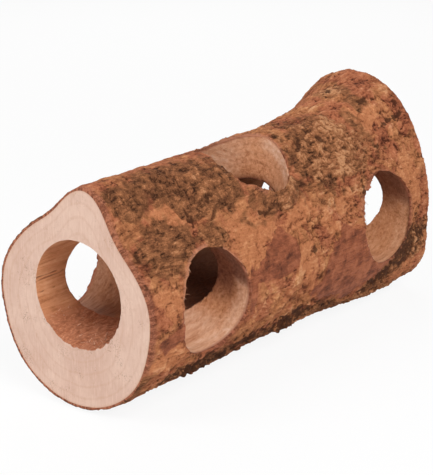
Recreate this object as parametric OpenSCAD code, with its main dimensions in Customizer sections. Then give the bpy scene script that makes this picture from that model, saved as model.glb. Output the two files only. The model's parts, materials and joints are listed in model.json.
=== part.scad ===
// Small animal tunnel: a length of bark-covered log, bored through from end to end,
// with a round way out through its top and two through each side.
// X runs along the log from its narrow front cut to its flared rear cut, Z is up,
// and the origin lies on the floor under the middle of the bore.

/* [Log] */
// Length between the two saw cuts
log_length = 248; // [225:1:300]
// Radius about the pith at the front cut, over the bark
front_radius = 46.3; // [42:0.1:50]
// Radius about the pith at the rear cut, over the bark and without the flare
rear_radius = 46.6; // [42:0.1:50]
// How far the middle of the log swells past a straight taper
belly_rise = 1.8; // [0:0.1:4]
// How far the pith lies below the axis of the bore
pith_drop = 9.6; // [6:0.1:12]
// How far the pith lies to the far side of the axis of the bore
pith_side = 2.6; // [0:0.1:4]
// Height of the slow swells of the trunk
swell_height = 1.4; // [0:0.1:2]
// Depth of the narrow flat that is worn along the underside
rest_flat = 0.7; // [0.4:0.1:0.9]

/* [Crest] */
// Angle of the crest along the top, from the far side upwards
crest_angle = 98; // [90:1:105]
// Height of the crest at the front cut
crest_front_height = 15.9; // [10:0.1:20]
// Height of the crest where it meets the flare
crest_rear_height = 12.3; // [8:0.1:18]
// Half-width of the crest at the front cut, in degrees
crest_front_width = 12; // [10:0.5:18]
// Half-width of the crest further back, in degrees
crest_rear_width = 20; // [14:0.5:26]
// Distance over which the crest broadens
crest_run = 111; // [60:1:130]

/* [Flare] */
// Height of the fork's flare above the log at the rear cut
flare_height = 31; // [20:0.5:34]
// Angle of the flare's top, from the far side upwards
flare_angle = 84; // [76:1:96]
// Half-width of the flare, in degrees
flare_width = 34; // [26:1:42]
// Distance from the start of the flare to the rear cut
flare_run = 116; // [90:1:130]
// How late the flare rises: more is later and steeper
flare_steepness = 2.05; // [1.5:0.05:3]
// Height of the heel that swells out low on the near side of the rear cut
heel_height = 8.5; // [4:0.5:9]
// Angle of the heel, from the far side upwards
heel_angle = 223; // [214:1:228]
// Half-width of the heel, in degrees
heel_width = 22; // [18:1:28]
// Distance from the start of the heel to the rear cut
heel_run = 127; // [80:1:140]

/* [Bark] */
// Thickness of the fibrous inner bark that covers the wood
bark_thickness = 1.3; // [1.1:0.1:2.6]
// Thickness of an outer bark scale at its middle
scale_thickness = 1.5; // [1:0.1:2.2]
// Thickness at its middle of the lip of bark that the drill pushed up beside the top hole
lip_thickness = 4.4; // [2.5:0.1:5]
// Thickness of an outer bark scale at its rim
scale_rim = 0.6; // [0.4:0.1:0.9]
// Clearance between an outer bark scale and the inner bark under it
scale_seat = 0.3; // [0.25:0.05:0.4]

/* [Tunnel] */
// Diameter of the bore from end to end
bore_diameter = 52; // [46:0.5:56]

/* [Cross holes] */
// Diameter of each hole that breaks into the bore from outside
hole_diameter = 50; // [42:0.5:52]
// Distance from the front cut to the front hole on the near side
near_front_from_end = 47; // [42:1:54]
// Angle of the front hole on the near side, from the far side upwards
near_front_angle = 191; // [184:1:198]
// Distance from the rear cut to the rear hole on the near side
near_rear_from_end = 44; // [40:1:54]
// Angle of the rear hole on the near side
near_rear_angle = 185; // [178:1:196]
// Distance from the front cut to the hole in the top
top_from_end = 112; // [104:1:122]
// Angle of the hole in the top
top_angle = 105; // [98:1:112]
// Distance from the front cut to the front hole on the far side
far_front_from_end = 45; // [42:1:54]
// Angle of the front hole on the far side
far_front_angle = -3; // [-8:1:8]
// Distance from the rear cut to the rear hole on the far side
far_rear_from_end = 42; // [38:1:54]
// Angle of the rear hole on the far side
far_rear_angle = 8; // [0:1:14]

/* [Hidden] */
// Rings of points along the log, closer together towards the flare
stations = 29;
station_crowding = 0.5;
// Points round each ring, closer together over the crest
columns = 60;
column_crowding = 0.5;
// Rings and spokes of an outer bark scale
scale_rings = 3;
scale_spokes = 20;
// How far a scale's ragged outline wanders, as a share of its half-length
scale_wander = 0.22;
// A cut starts or ends this far past the surface that it opens
overrun = 30;
// Turns of the trunk's slow swells: per turn about the pith, and degrees for each mm along it
swell_lobes = [2, 3, 5, 7];
swell_twist = [1.9, -1.3, 3.1, -4.3];
swell_shares = [0.25, 0.25, 0.25, 0.25];
// Angle of the underside, and the half-width of it that the slow swells leave even, in degrees
underside_angle = 270;
even_underside = 40;

bore_radius = bore_diameter/2;
hole_radius = hole_diameter/2;
log_reach = front_radius + rear_radius + flare_height;

cross_holes = [
    [near_front_from_end, near_front_angle],
    [log_length - near_rear_from_end, near_rear_angle],
    [top_from_end, top_angle],
    [far_front_from_end, far_front_angle],
    [log_length - far_rear_from_end, far_rear_angle]
];

// The lip stands on the near rim of the top hole, and its middle leans over the hole by a few degrees
lip_overhang = 3;
lip_angle = top_angle + 180/PI*hole_radius/front_radius - lip_overhang;

// Outer bark scales: where each one starts and ends along the log, its angle about the pith,
// its half-width in degrees, and the phase of its ragged outline
brow = [2, 26, 110, 9, 20];
crown = [30, 94, 116, 13, 75];
shoulder = [4, 46, 137, 11, 140];
patch = [48, 68, 142, 6, 10];
lip = [top_from_end - 16, top_from_end + 26, lip_angle, 10, 200];
saddle = [138, log_length - 35, 122, 17, 300];
fork = [log_length - 42, log_length - 18, 88, 8, 50];
flank = [log_length - 26, log_length - 1, 198, 10, 35];
heel = [log_length - 78, log_length - 10, 227, 11, 110];
keel_front = [37, 95, 233, 8, 250];
keel_rear = [99, log_length - 83, 226, 10, 330];
back_crown = [33, 91, 62, 12, 160];
back_saddle = [109, log_length - 57, 58, 13, 60];
back_panel = [76, 148, 8, 16, 220];
back_keel = [21, 103, 312, 9, 0];
back_heel = [log_length - 102, log_length - 14, 316, 10, 90];

// Eases from 0 to 1 with level ends
function ease(t) = let (c = min(1, max(0, t))) c*c*(3 - 2*c);
// A bell of height 1 that is wrapped round the log
function bell(turn, width) = let (d = turn - 360*round(turn/360)) exp(-d*d/(2*width*width));

// Radius of the trunk alone, at a distance from the front cut
function trunk(s) = front_radius + (rear_radius - front_radius)*s/log_length
    + belly_rise*sin(180*s/log_length);
// Slow swells that keep the trunk from being a turned shape, and fade out where it rests
function swell(s, a) = let (
    waves = [for (k = [0:len(swell_lobes) - 1]) sin(swell_lobes[k]*a + swell_twist[k]*s)])
    swell_height*(1 - bell(a - underside_angle, even_underside))*(waves*swell_shares);
// How far the fork has opened, from 0 to 1 at the rear cut
function opened(s) = pow(max(0, 1 - (log_length - s)/flare_run), flare_steepness);
function crest(s, a) = let (k = ease(s/crest_run))
    (crest_front_height + (crest_rear_height - crest_front_height)*k)*(1 - opened(s))
    *bell(a - crest_angle, crest_front_width + (crest_rear_width - crest_front_width)*k);
function flare(s, a) = flare_height*opened(s)*bell(a - flare_angle, flare_width);
function heel_swell(s, a) = heel_height*ease(1 - (log_length - s)/heel_run)
    *bell(a - heel_angle, heel_width);
// Radius over the inner bark, about the pith
function log_radius(s, a) = trunk(s) + swell(s, a) + crest(s, a) + flare(s, a) + heel_swell(s, a);

// Places of the rings and of the points round them
function station(i) = let (t = i/(stations - 1)) log_length*(t + station_crowding*t*(1 - t));
function column(j) = let (a = 360*j/columns) a - column_crowding*180/PI*sin(a - crest_angle);

// The bore's axis lies so far above the floor that the flat is worn into the lowest bark
lowest = max([for (i = [0:stations - 1], j = [0:columns - 1])
    pith_drop - log_radius(station(i), column(j))*sin(column(j))]);
axis_height = lowest - rest_flat;

// A point of the log, raised above the inner bark's face or sunk below it
function log_point(s, a, raise) = let (r = log_radius(s, a) + raise)
    [s - log_length/2, pith_side + r*cos(a), axis_height - pith_drop + r*sin(a)];
function skin(raise) = [for (i = [0:stations - 1], j = [0:columns - 1])
    log_point(station(i), column(j), raise)];

// Two triangles for each cell of a skin whose points start at a given index
function cell(start, i, j, outward) = let (
    k = (j + 1) % columns,
    a = start + i*columns + j,
    b = start + i*columns + k,
    c = a + columns,
    d = b + columns)
    outward ? [[a, b, d], [a, d, c]] : [[a, d, b], [a, c, d]];
function skin_faces(start, outward) = [for (i = [0:stations - 2], j = [0:columns - 1])
    each cell(start, i, j, outward)];
// Two triangles for each cell of the ring that joins two skins at an end of the log
function end_ring(outer, inner, front) = [for (j = [0:columns - 1]) let (k = (j + 1) % columns)
    each front ? [[outer + j, inner + k, outer + k], [outer + j, inner + j, inner + k]]
        : [[outer + j, outer + k, inner + k], [outer + j, inner + k, inner + j]]];

// The log to a given depth below the face of the bark, solid and with flat cut ends
module log_solid(raise) {
    last = (stations - 1)*columns;
    front_cut = [for (j = [columns - 1:-1:0]) j];
    rear_cut = [for (j = [0:columns - 1]) last + j];
    polyhedron(skin(raise), concat(skin_faces(0, true), [front_cut, rear_cut]), 4);
}

// The sheath between the face of the bark and the wood
module log_sheath(thickness) {
    count = stations*columns;
    last = (stations - 1)*columns;
    polyhedron(
        concat(skin(0), skin(-thickness)),
        concat(skin_faces(0, true), skin_faces(count, false),
            end_ring(0, count, true), end_ring(last, count + last, false)),
        4);
}

// A scale of outer bark: a thin shield with a ragged outline that lies along the log between its two ends
function scale_middle(place) = (place[0] + place[1])/2;
function scale_half(place) = (place[1] - place[0])/2/(1 + scale_wander);
function scale_reach(spoke, phase) = 1 + scale_wander*(sin(3*spoke + phase) + sin(5*spoke - 2*phase))/2;
function scale_point(place, ring, spoke, raise) = let (
    share = ring/scale_rings*scale_reach(spoke, place[4]),
    s = scale_middle(place) + scale_half(place)*share*cos(spoke))
    log_point(s, place[2] + place[3]*share*sin(spoke), raise);
// Points of a scale's face, domed by a given thickness, or of its underside where that is 0
function scale_face(place, dome) = concat(
    [scale_point(place, 0, 0, scale_seat + dome)],
    [for (ring = [1:scale_rings], k = [0:scale_spokes - 1]) scale_point(place, ring, 360*k/scale_spokes,
        scale_seat + (dome > 0 ? dome - (dome - scale_rim)*pow(ring/scale_rings, 2) : 0))]);
function scale_fan(start, top) = [for (k = [0:scale_spokes - 1]) let (
    a = start + 1 + k,
    b = start + 1 + (k + 1) % scale_spokes)
    top ? [start, a, b] : [start, b, a]];
function scale_rows(start, top) = [for (ring = [0:scale_rings - 2], k = [0:scale_spokes - 1]) let (
    a = start + 1 + ring*scale_spokes + k,
    b = start + 1 + ring*scale_spokes + (k + 1) % scale_spokes,
    c = a + scale_spokes,
    d = b + scale_spokes)
    each top ? [[a, c, d], [a, d, b]] : [[a, d, c], [a, b, d]]];
function scale_edge(top, bottom) = [for (k = [0:scale_spokes - 1]) let (
    n = (k + 1) % scale_spokes,
    rim = 1 + (scale_rings - 1)*scale_spokes)
    each [[top + rim + k, bottom + rim + k, bottom + rim + n],
        [top + rim + k, bottom + rim + n, top + rim + n]]];

module bark_scale(place, thickness) {
    count = 1 + scale_rings*scale_spokes;
    polyhedron(
        concat(scale_face(place, thickness), scale_face(place, 0)),
        concat(scale_fan(0, true), scale_rows(0, true), scale_fan(count, false),
            scale_rows(count, false), scale_edge(0, count)),
        4);
}

// The drill's way through the log from end to end
module bore_cut() {
    translate([-log_length/2 - overrun, 0, axis_height])
        rotate([0, 90, 0])
            cylinder(h = log_length + 2*overrun, r = bore_radius, $fn = 96);
}

// The drill's way from the bore's axis out through the bark, once for each cross hole
module cross_cuts() {
    for (h = cross_holes)
        translate([h[0] - log_length/2, 0, axis_height])
            rotate([h[1] - 90, 0, 0])
                cylinder(h = log_reach, r = hole_radius, $fn = 96);
}

// Everything below the floor, which leaves the worn flat
module floor_cut() {
    translate([-log_length, -log_reach, -log_reach])
        cube([2*log_length, 2*log_reach, log_reach]);
}

module drilled_scale(place, shade, thickness = scale_thickness) {
    color(shade) difference() {
        bark_scale(place, thickness);
        cross_cuts();
        floor_cut();
    }
}

module wood_log() {
    color("burlywood") difference() {
        log_solid(-bark_thickness);
        bore_cut();
        cross_cuts();
    }
}

module inner_bark() {
    color("peru") difference() {
        log_sheath(bark_thickness);
        cross_cuts();
        floor_cut();
    }
}

module brow_scale() { drilled_scale(brow, "saddlebrown"); }
module crown_scale() { drilled_scale(crown, "saddlebrown"); }
module shoulder_scale() { drilled_scale(shoulder, "saddlebrown"); }
module patch_scale() { drilled_scale(patch, "sienna"); }
module lip_scale() { drilled_scale(lip, "sienna", lip_thickness); }
module saddle_scale() { drilled_scale(saddle, "saddlebrown"); }
module fork_scale() { drilled_scale(fork, "sienna"); }
module flank_scale() { drilled_scale(flank, "saddlebrown"); }
module heel_scale() { drilled_scale(heel, "saddlebrown"); }
module keel_front_scale() { drilled_scale(keel_front, "saddlebrown"); }
module keel_rear_scale() { drilled_scale(keel_rear, "saddlebrown"); }
module back_crown_scale() { drilled_scale(back_crown, "saddlebrown"); }
module back_saddle_scale() { drilled_scale(back_saddle, "saddlebrown"); }
module back_panel_scale() { drilled_scale(back_panel, "sienna"); }
module back_keel_scale() { drilled_scale(back_keel, "saddlebrown"); }
module back_heel_scale() { drilled_scale(back_heel, "saddlebrown"); }

wood_log();
inner_bark();
brow_scale();
crown_scale();
shoulder_scale();
patch_scale();
lip_scale();
saddle_scale();
fork_scale();
flank_scale();
heel_scale();
keel_front_scale();
keel_rear_scale();
back_crown_scale();
back_saddle_scale();
back_panel_scale();
back_keel_scale();
back_heel_scale();
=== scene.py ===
# %% [markdown]
# # A log tunnel for small animals
# The real object is one length of a bark-covered branch. It is sawn off at both ends, bored from end to
# end, and drilled from outside into the bore: one hole in the top and two in each side. The imported CAD
# model holds its true sizes as a wood log, a thin sheath of inner bark and sixteen scales of rough outer
# bark. We load it as a fixed frame, read its surfaces, and build each piece again with the relief, the
# torn edges and the colours that real bark and freshly cut wood have. Some light and shade is also painted
# into those colours: in the holes, in the bore, at some rims and in the bark's relief.

# %% Load the frame
import json

import bpy
import numpy as np
from mathutils import Matrix, Vector
from mathutils.bvhtree import BVHTree


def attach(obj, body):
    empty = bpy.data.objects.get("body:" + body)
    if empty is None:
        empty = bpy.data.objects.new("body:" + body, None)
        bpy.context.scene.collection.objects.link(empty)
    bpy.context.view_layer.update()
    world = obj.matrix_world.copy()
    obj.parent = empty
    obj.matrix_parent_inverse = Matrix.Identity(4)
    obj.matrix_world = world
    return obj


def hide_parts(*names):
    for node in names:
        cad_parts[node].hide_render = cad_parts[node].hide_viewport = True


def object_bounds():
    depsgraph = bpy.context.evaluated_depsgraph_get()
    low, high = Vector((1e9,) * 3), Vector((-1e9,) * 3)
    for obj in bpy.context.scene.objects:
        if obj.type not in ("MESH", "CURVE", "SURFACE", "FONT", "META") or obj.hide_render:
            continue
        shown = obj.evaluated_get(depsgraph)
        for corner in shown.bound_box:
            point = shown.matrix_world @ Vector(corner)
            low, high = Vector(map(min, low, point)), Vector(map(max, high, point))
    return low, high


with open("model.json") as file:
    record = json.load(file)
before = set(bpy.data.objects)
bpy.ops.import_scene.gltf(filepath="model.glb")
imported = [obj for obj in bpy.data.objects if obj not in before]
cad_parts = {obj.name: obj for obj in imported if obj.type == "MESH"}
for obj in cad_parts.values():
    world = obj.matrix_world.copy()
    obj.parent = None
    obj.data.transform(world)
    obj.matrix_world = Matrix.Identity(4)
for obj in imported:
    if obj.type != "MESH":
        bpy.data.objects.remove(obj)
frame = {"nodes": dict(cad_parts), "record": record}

cad_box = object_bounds()
print("CAD box in mm:", [[round(1000*c, 1) for c in corner] for corner in cad_box])

# %% [markdown]
# ## Camera
# The camera stands in front of the log's narrow end, a little to the side and above. It could be aimed
# with a constraint, but a fixed place with three plain directions is easier to read and always the same.
# Its place is told from the middle of the bore, so it stays right if the log is made thicker.

# %% Camera
bore_mount = next(m for m in frame["record"]["mounts"] if m["name"] == "tunnel_bore")
bore_middle = Vector(bore_mount["pos_m"])
camera_place = bore_middle + Vector((-0.5509, -0.3987, 0.2092))
camera_right = Vector((0.5996, -0.8003, 0.0))
camera_up = Vector((0.2388, 0.1789, 0.9544))
lens = bpy.data.cameras.new("long_lens")
lens.lens = 103.0
lens.sensor_width = 36.0
camera = bpy.data.objects.new("camera", lens)
bpy.context.collection.objects.link(camera)
turned = Matrix((camera_right, camera_up, camera_right.cross(camera_up))).transposed()
camera.matrix_world = Matrix.Translation(camera_place) @ turned.to_4x4()
bpy.context.scene.camera = camera
bpy.context.scene.view_settings.view_transform = "Standard"
print("camera", round((camera_place - bore_middle).length, 3), "m from the log")

# %% [markdown]
# ## Helpers for the materials
# A material here is a small graph: noises and the numbers that were kept in the mesh choose between paint
# colours. The light of the room is such a graph too. These helpers keep each graph short. Colours are written
# as a screen shows them, 0 to 255.

# %% Helpers for the materials
MM = 0.001


def paint(red, green, blue):
    screen = np.array((red, green, blue))/255
    linear = np.where(screen <= 0.04045, screen/12.92, ((screen + 0.055)/1.055)**2.4)
    return (*linear.tolist(), 1.0)


class Graph:
    """The nodes of a material or of the room, with a short name for each kind that we use."""

    def __init__(self, owner):
        owner.use_nodes = True
        self.owner = owner
        self.tree = owner.node_tree

    def put(self, socket, value):
        if isinstance(value, bpy.types.NodeSocket):
            self.tree.links.new(value, socket)
        else:
            socket.default_value = value

    def node(self, kind, inputs, output=0, **settings):
        """A new node with its settings, and its inputs by name or number. Gives one of its outputs."""
        made = self.tree.nodes.new("ShaderNode" + kind)
        for name, value in settings.items():
            setattr(made, name, value)
        for key, value in inputs.items():
            self.put(made.inputs[key], value)
        return made.outputs[output]

    def math(self, operation, *values):
        return self.node("Math", dict(enumerate(values)), operation=operation)

    def kept(self, name, output="Fac"):
        return self.node("Attribute", {}, output, attribute_name=name)

    def place_in_mm(self):
        return self.stretched(self.node("TexCoord", {}, "Object"), (1000.0, 1000.0, 1000.0))

    def stretched(self, vector, factors):
        return self.node("VectorMath", {0: vector, 1: factors}, operation="MULTIPLY")

    def noise(self, vector, scale, detail=4.0, roughness=0.6, distortion=0.0):
        numbers = {"Scale": scale, "Detail": detail, "Roughness": roughness, "Distortion": distortion}
        return self.node("TexNoise", {"Vector": vector, **numbers}, "Fac")

    def bent(self, vector, scale, amount):
        """A place that is shifted by noise, so that lines drawn from it wander."""
        shift = self.node("TexNoise", {"Vector": vector, "Scale": scale}, "Color")
        inputs = {0: shift, 1: (amount, amount, amount), 2: vector}
        return self.node("VectorMath", inputs, operation="MULTIPLY_ADD")

    def border(self, vector, scale):
        """Distance to the border between random plates."""
        inputs = {"Vector": vector, "Scale": scale}
        return self.node("TexVoronoi", inputs, "Distance", feature="DISTANCE_TO_EDGE")

    def level(self, value, low, high, to_low=0.0, to_high=1.0):
        """A value between low and high, eased to run from one new end to the other."""
        inputs = dict(enumerate((value, low, high, to_low, to_high)))
        return self.node("MapRange", inputs, interpolation_type="SMOOTHSTEP")

    def weighed(self, start, *parts):
        """A start plus noises and kept numbers, each with its weight. A noise swings about 0.5."""
        total = start
        for value, weight in parts:
            total = self.math("MULTIPLY_ADD", value, weight, total)
        return total

    def ramp(self, value, *stops):
        """A colour between stops, each a place from 0 to 1 and a paint."""
        node = self.tree.nodes.new("ShaderNodeValToRGB")
        self.put(node.inputs["Fac"], value)
        elements = node.color_ramp.elements
        while len(elements) < len(stops):
            elements.new(0.5)
        for element, (place, colour) in zip(elements, stops):
            element.position = place
            element.color = paint(*colour)
        return node.outputs["Color"]

    def mix(self, share, below, above):
        return self.node("Mix", {0: share, 6: below, 7: above}, 2, data_type="RGBA")

    def over(self, below, mask, low, high, share, above):
        """A colour over another one, up to a share, where a mask runs from low to high."""
        return self.mix(self.level(mask, low, high, 0.0, share), below, above)

    def bump(self, value, height_mm, below=None):
        """A relief that only the light sees, over another one if that is given."""
        inputs = {"Strength": 1.0, "Distance": MM*height_mm, "Height": value}
        if below is not None:
            inputs["Normal"] = below
        return self.node("Bump", inputs, "Normal")

    def finish(self, colour, roughness, gloss, relief=None):
        """Gives the material's own shader its colour, roughness, gloss and relief."""
        inputs = {"Base Color": colour, "Roughness": roughness, "Specular IOR Level": gloss}
        if relief is not None:
            inputs["Normal"] = relief
        for name, value in inputs.items():
            self.put(self.tree.nodes["Principled BSDF"].inputs[name], value)
        return self.owner


print("white paint is", [round(c, 2) for c in paint(255, 255, 255)])

# %% [markdown]
# ## Light and floor
# A catalogue picture is lit by large soft boxes. One stands to the right of the camera and lights the near
# side and the walls of the holes, one stands to the left and lights the sawn end, and a weaker one behind
# lifts the far side. The room adds little, so the inside of the bore stays dark. The floor is white paper.
# Most of what the camera sees of it is its own white and the rest is light that falls on it, so it keeps the
# shadow.

# %% Light and floor
def soft_lamp(name, place, watts, aim=(0.0, 0.0, 0.05), size=0.8):
    data = bpy.data.lights.new(name, "AREA")
    data.size = size
    data.energy = watts
    lamp = bpy.data.objects.new(name, data)
    bpy.context.collection.objects.link(lamp)
    lamp.location = place
    lamp.rotation_euler = (Vector(aim) - Vector(place)).to_track_quat("-Z", "Y").to_euler()


soft_lamp("right_soft_box", (-0.5, -1.0, 1.0), 16.6)
soft_lamp("left_soft_box", (-1.0, 0.4, 1.0), 10.0)
soft_lamp("rear_soft_box", (1.0, 0.8, 0.9), 7.0)


def seen_directly(g):
    """1 where the camera, a gloss or a clear piece looks at a surface, and 0 for its light on others."""
    total = g.node("LightPath", {}, "Is Camera Ray")
    for kind in ("Is Glossy Ray", "Is Transmission Ray"):
        total = g.math("MAXIMUM", total, g.node("LightPath", {}, kind))
    return total


def show_white(g, share, lit, white, outlet):
    """Mixes a lit shader with a plain white one, by a share, and joins both to the outlet."""
    mixed = g.node("MixShader", {0: share, 1: g.tree.nodes[lit].outputs[0], 2: white})
    g.put(g.tree.nodes[outlet].inputs["Surface"], mixed)


room = Graph(bpy.data.worlds.new("pale_room"))
bpy.context.scene.world = room.owner
room_light = room.tree.nodes["Background"]
room.put(room_light.inputs["Color"], (1.0, 0.98, 0.96, 1.0))
room.put(room_light.inputs["Strength"], 0.12)
white_wall = room.node("Background", {"Color": paint(255, 255, 255)})
show_white(room, seen_directly(room), "Background", white_wall, "World Output")

paper = Graph(bpy.data.materials.new("white_paper"))
paper.finish((0.9, 0.9, 0.9, 1.0), 0.9, 0.0)
paper_share = paper.math("MULTIPLY", seen_directly(paper), 0.9)
show_white(paper, paper_share, "Principled BSDF", paper.node("Emission", {}), "Material Output")

floor_reach = 4.0
floor_mesh = bpy.data.meshes.new("floor")
floor_corners = [(-1, -1), (1, -1), (1, 1), (-1, 1)]
floor_mesh.from_pydata([(floor_reach*x, floor_reach*y, 0.0) for x, y in floor_corners], [], [(0, 1, 2, 3)])
floor_mesh.materials.append(paper.owner)
floor = bpy.data.objects.new("floor", floor_mesh)
bpy.context.collection.objects.link(floor)
print("floor", 2*floor_reach, "m wide, three soft lamps")

# %% [markdown]
# ## Places on the log
# A log is round about its pith, so a place on it is best told by three numbers: how far from the front
# cut, how far round the pith, and how far out. All lengths here are in millimetres and angles are counted
# from the far side upwards, as in the CAD model, and pieces are scaled to metres when their mesh is made.

# %% Places on the log
axis_height = bore_middle.z/MM
log_length = bore_mount["dims"]["length_mm"]
bore_radius = bore_mount["dims"]["r_mm"]
pith_side = 2.6
pith_height = axis_height - 9.6
mean_radius = 48.0


def log_place(points):
    """Distance from the front cut, turn about the pith in radians, and radius, of points in mm."""
    y = points[..., 1] - pith_side
    z = points[..., 2] - pith_height
    return points[..., 0] + log_length/2, np.arctan2(z, y), np.hypot(y, z)


def log_point(s, turn, radius):
    y = pith_side + radius*np.cos(turn)
    z = pith_height + radius*np.sin(turn)
    return np.stack(np.broadcast_arrays(s - log_length/2, y, z), axis=-1)


def unrolled(s, turn):
    """The place on a plain cylinder of the log's mean radius, so that grain follows the flare."""
    return np.stack(np.broadcast_arrays(s, mean_radius*np.cos(turn), mean_radius*np.sin(turn)), axis=-1)


def mm_round(turn, angle):
    """How many mm a turn in radians lies past an angle in degrees, on that cylinder."""
    return ((np.degrees(turn) - angle + 180) % 360 - 180)*np.pi/180*mean_radius


print("bore", 2*bore_radius, "mm, log", log_length, "mm, axis", round(axis_height, 2), "mm above the floor")

# %% [markdown]
# ## Cross holes
# Each cross hole aims at the bore's axis and has the same drill size. The places repeat the CAD model's:
# distance from the front cut in mm, and the angle of the drill.

# %% Cross holes
hole_radius = 25.0
cross_holes = {
    "near_front": (47, 191),
    "near_rear": (log_length - 44, 185),
    "top": (112, 105),
    "far_front": (45, -3),
    "far_rear": (log_length - 42, 8),
}


def hole_axes(name):
    """Where a drill starts on the bore's axis, its way out, and two directions across it."""
    along, angle = cross_holes[name]
    start = np.array((along - log_length/2, 0.0, axis_height))
    way = np.array((0.0, np.cos(np.radians(angle)), np.sin(np.radians(angle))))
    across = np.array((1.0, 0.0, 0.0))
    return start, way, across, np.cross(way, across)


def drill_place(points, name):
    """Depth along a drill from the bore's axis, distance from the drill's axis, and turn about it."""
    start, way, across, up = hole_axes(name)
    offset = points - start
    return offset @ way, np.hypot(offset @ across, offset @ up), np.arctan2(offset @ up, offset @ across)


def rim_distance(points):
    """Distance outside the nearest cross hole, less than 0 inside one."""
    nearest = np.full(points.shape[:-1], 1000.0)
    for name in cross_holes:
        depth, off_axis, turn = drill_place(points, name)
        nearest = np.where(depth > 0, np.minimum(nearest, off_axis - hole_radius), nearest)
    return nearest


print(len(cross_holes), "cross holes of", 2*hole_radius, "mm")

# %% [markdown]
# ## Reading the log's surface
# The CAD log is a mesh of flat facets. A subdivision modifier would round it but would also shrink it. We
# cast rays at it from outside instead, on an even grid, which gives one radius for each place. The gaps at
# the drilled holes are filled by letting the rim's heights spread inwards, and a slight blur loses the
# facets. A second ray at the wood tells how thick the bark is.

# %% Reading the log's surface
station_step = 1.5
turn_count = 256
end_inset = 0.2
stations = np.linspace(0, log_length, int(log_length/station_step) + 1)
turns = np.linspace(0, 2*np.pi, turn_count, endpoint=False)


def ray_target(node):
    mesh = frame["nodes"][node].data
    corners = [1000*v.co for v in mesh.vertices]
    return BVHTree.FromPolygons(corners, [tuple(p.vertices) for p in mesh.polygons])


def radius_from_outside(tree, s, turn, reach=130.0):
    """Radius at which a ray towards the pith first meets a solid, or 0 where it meets none."""
    outward = Vector((0.0, np.cos(turn), np.sin(turn)))
    start = Vector(log_point(s, turn, reach))
    hit = tree.ray_cast(start, -outward, 2*reach)
    return reach - hit[3] if hit[0] is not None else 0.0


def blurred(grid, spread, around):
    """A grid smoothed by a bell that is spread over some cells; the second axis may run round the log."""
    for axis, edge in ((0, "edge"), (1, around)):
        reach = int(3*spread) + 1
        bell = np.exp(-0.5*(np.arange(-reach, reach + 1)/spread)**2)
        widths = [(0, 0), (0, 0)]
        widths[axis] = (reach, reach)
        padded = np.pad(grid, widths, mode=edge)
        grid = np.apply_along_axis(np.convolve, axis, padded, bell/bell.sum(), "valid")
    return grid


bark_target = ray_target("inner_bark")
inset = np.clip(stations, end_inset, log_length - end_inset)
face_radius = np.array([[radius_from_outside(bark_target, s, t) for t in turns] for s in inset])
grid_points = log_point(stations[:, None], turns[None, :], face_radius)
face_known = (face_radius > 0.8*mean_radius) & (rim_distance(grid_points) > 0.5)
face_radius[~face_known] = np.median(face_radius[face_known])
for spread_pass in range(400):
    padded = np.pad(np.pad(face_radius, ((1, 1), (0, 0)), mode="edge"), ((0, 0), (1, 1)), mode="wrap")
    even = (padded[:-2, 1:-1] + padded[2:, 1:-1] + padded[1:-1, :-2] + padded[1:-1, 2:])/4
    face_radius = np.where(face_known, face_radius, even)
face_radius = blurred(face_radius, 1.7, "wrap")

wood_target = ray_target("wood_log")
bare_side = np.radians(150)
bark_thickness = (radius_from_outside(bark_target, log_length/2, bare_side)
                  - radius_from_outside(wood_target, log_length/2, bare_side))


def face_at(s, turn):
    """Radius of the inner bark's face at any place, between the grid's own places."""
    row = np.clip(s/stations[1], 0, len(stations) - 1.001)
    column = (turn/turns[1]) % turn_count
    i = row.astype(int)
    j = column.astype(int) % turn_count
    k = (j + 1) % turn_count
    u = row - i
    v = column - np.floor(column)
    front = face_radius[i, j]*(1 - v) + face_radius[i, k]*v
    behind = face_radius[i + 1, j]*(1 - v) + face_radius[i + 1, k]*v
    return front*(1 - u) + behind*u


print("face radius from", round(face_radius.min(), 1), "to", round(face_radius.max(), 1), "mm, bark",
      round(bark_thickness, 2), "mm thick")

# %% [markdown]
# ## Noise for relief
# Bark is irregular at every size, so its relief comes from layered random lattices. Blender's texture
# modifiers could displace a mesh, but the same numbers are needed for colour as well, so small noise
# functions of our own give both. They have no state: the same place always gives the same value. The last
# number in a call is a seed, which only has to differ from the others, and in fractal the one before it is
# the number of layers. A place is scaled first: a small factor makes the noise broad, and a smaller one along
# the log makes it run with the grain. The second kind splits a space into plates, as dry bark does.

# %% Noise for relief
def lattice(cells, seed):
    mixed = cells[..., 0]*73856093 ^ cells[..., 1]*19349663 ^ cells[..., 2]*83492791 ^ (seed*2654435761)
    mixed = (mixed ^ (mixed >> 13))*1274126177
    return ((mixed ^ (mixed >> 16)) & 65535)/32767.5 - 1


def noise(points, seed):
    low = np.floor(points).astype(np.int64)
    part = points - low
    part = part**3*(part*(6*part - 15) + 10)
    total = 0.0
    for corner in np.ndindex(2, 2, 2):
        weight = np.prod(np.where(corner, part, 1 - part), axis=-1)
        total = total + weight*lattice(low + np.array(corner), seed)
    return total


def fractal(points, octaves, seed):
    """Noise in layers, each half as large and half as high as the one before."""
    total = sum(noise(points*2**k, seed + k)/2**k for k in range(octaves))
    return total/(2 - 2.0**(1 - octaves))*1.4


def ease(low, high, value):
    """From 0 at low to 1 at high, with level ends."""
    t = np.clip((value - low)/(high - low), 0, 1)
    return t*t*(3 - 2*t)


def plates(points, seed):
    """Plates that meet at ragged borders: a random height for each, and the distance to the border."""
    low = np.floor(points).astype(np.int64)
    nearest = np.full(points.shape[:-1], 9.0)
    second = nearest.copy()
    height = np.zeros(points.shape[:-1])
    for step in np.ndindex(3, 3, 3):
        cell = low + np.array(step) - 1
        middle = cell + 0.5 + 0.4*np.stack([lattice(cell, seed + k) for k in range(3)], axis=-1)
        off = np.linalg.norm(points - middle, axis=-1)
        closer = off < nearest
        second = np.where(closer, nearest, np.minimum(second, off))
        height = np.where(closer, lattice(cell, seed + 3), height)
        nearest = np.minimum(nearest, off)
    return height, second - nearest


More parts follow.
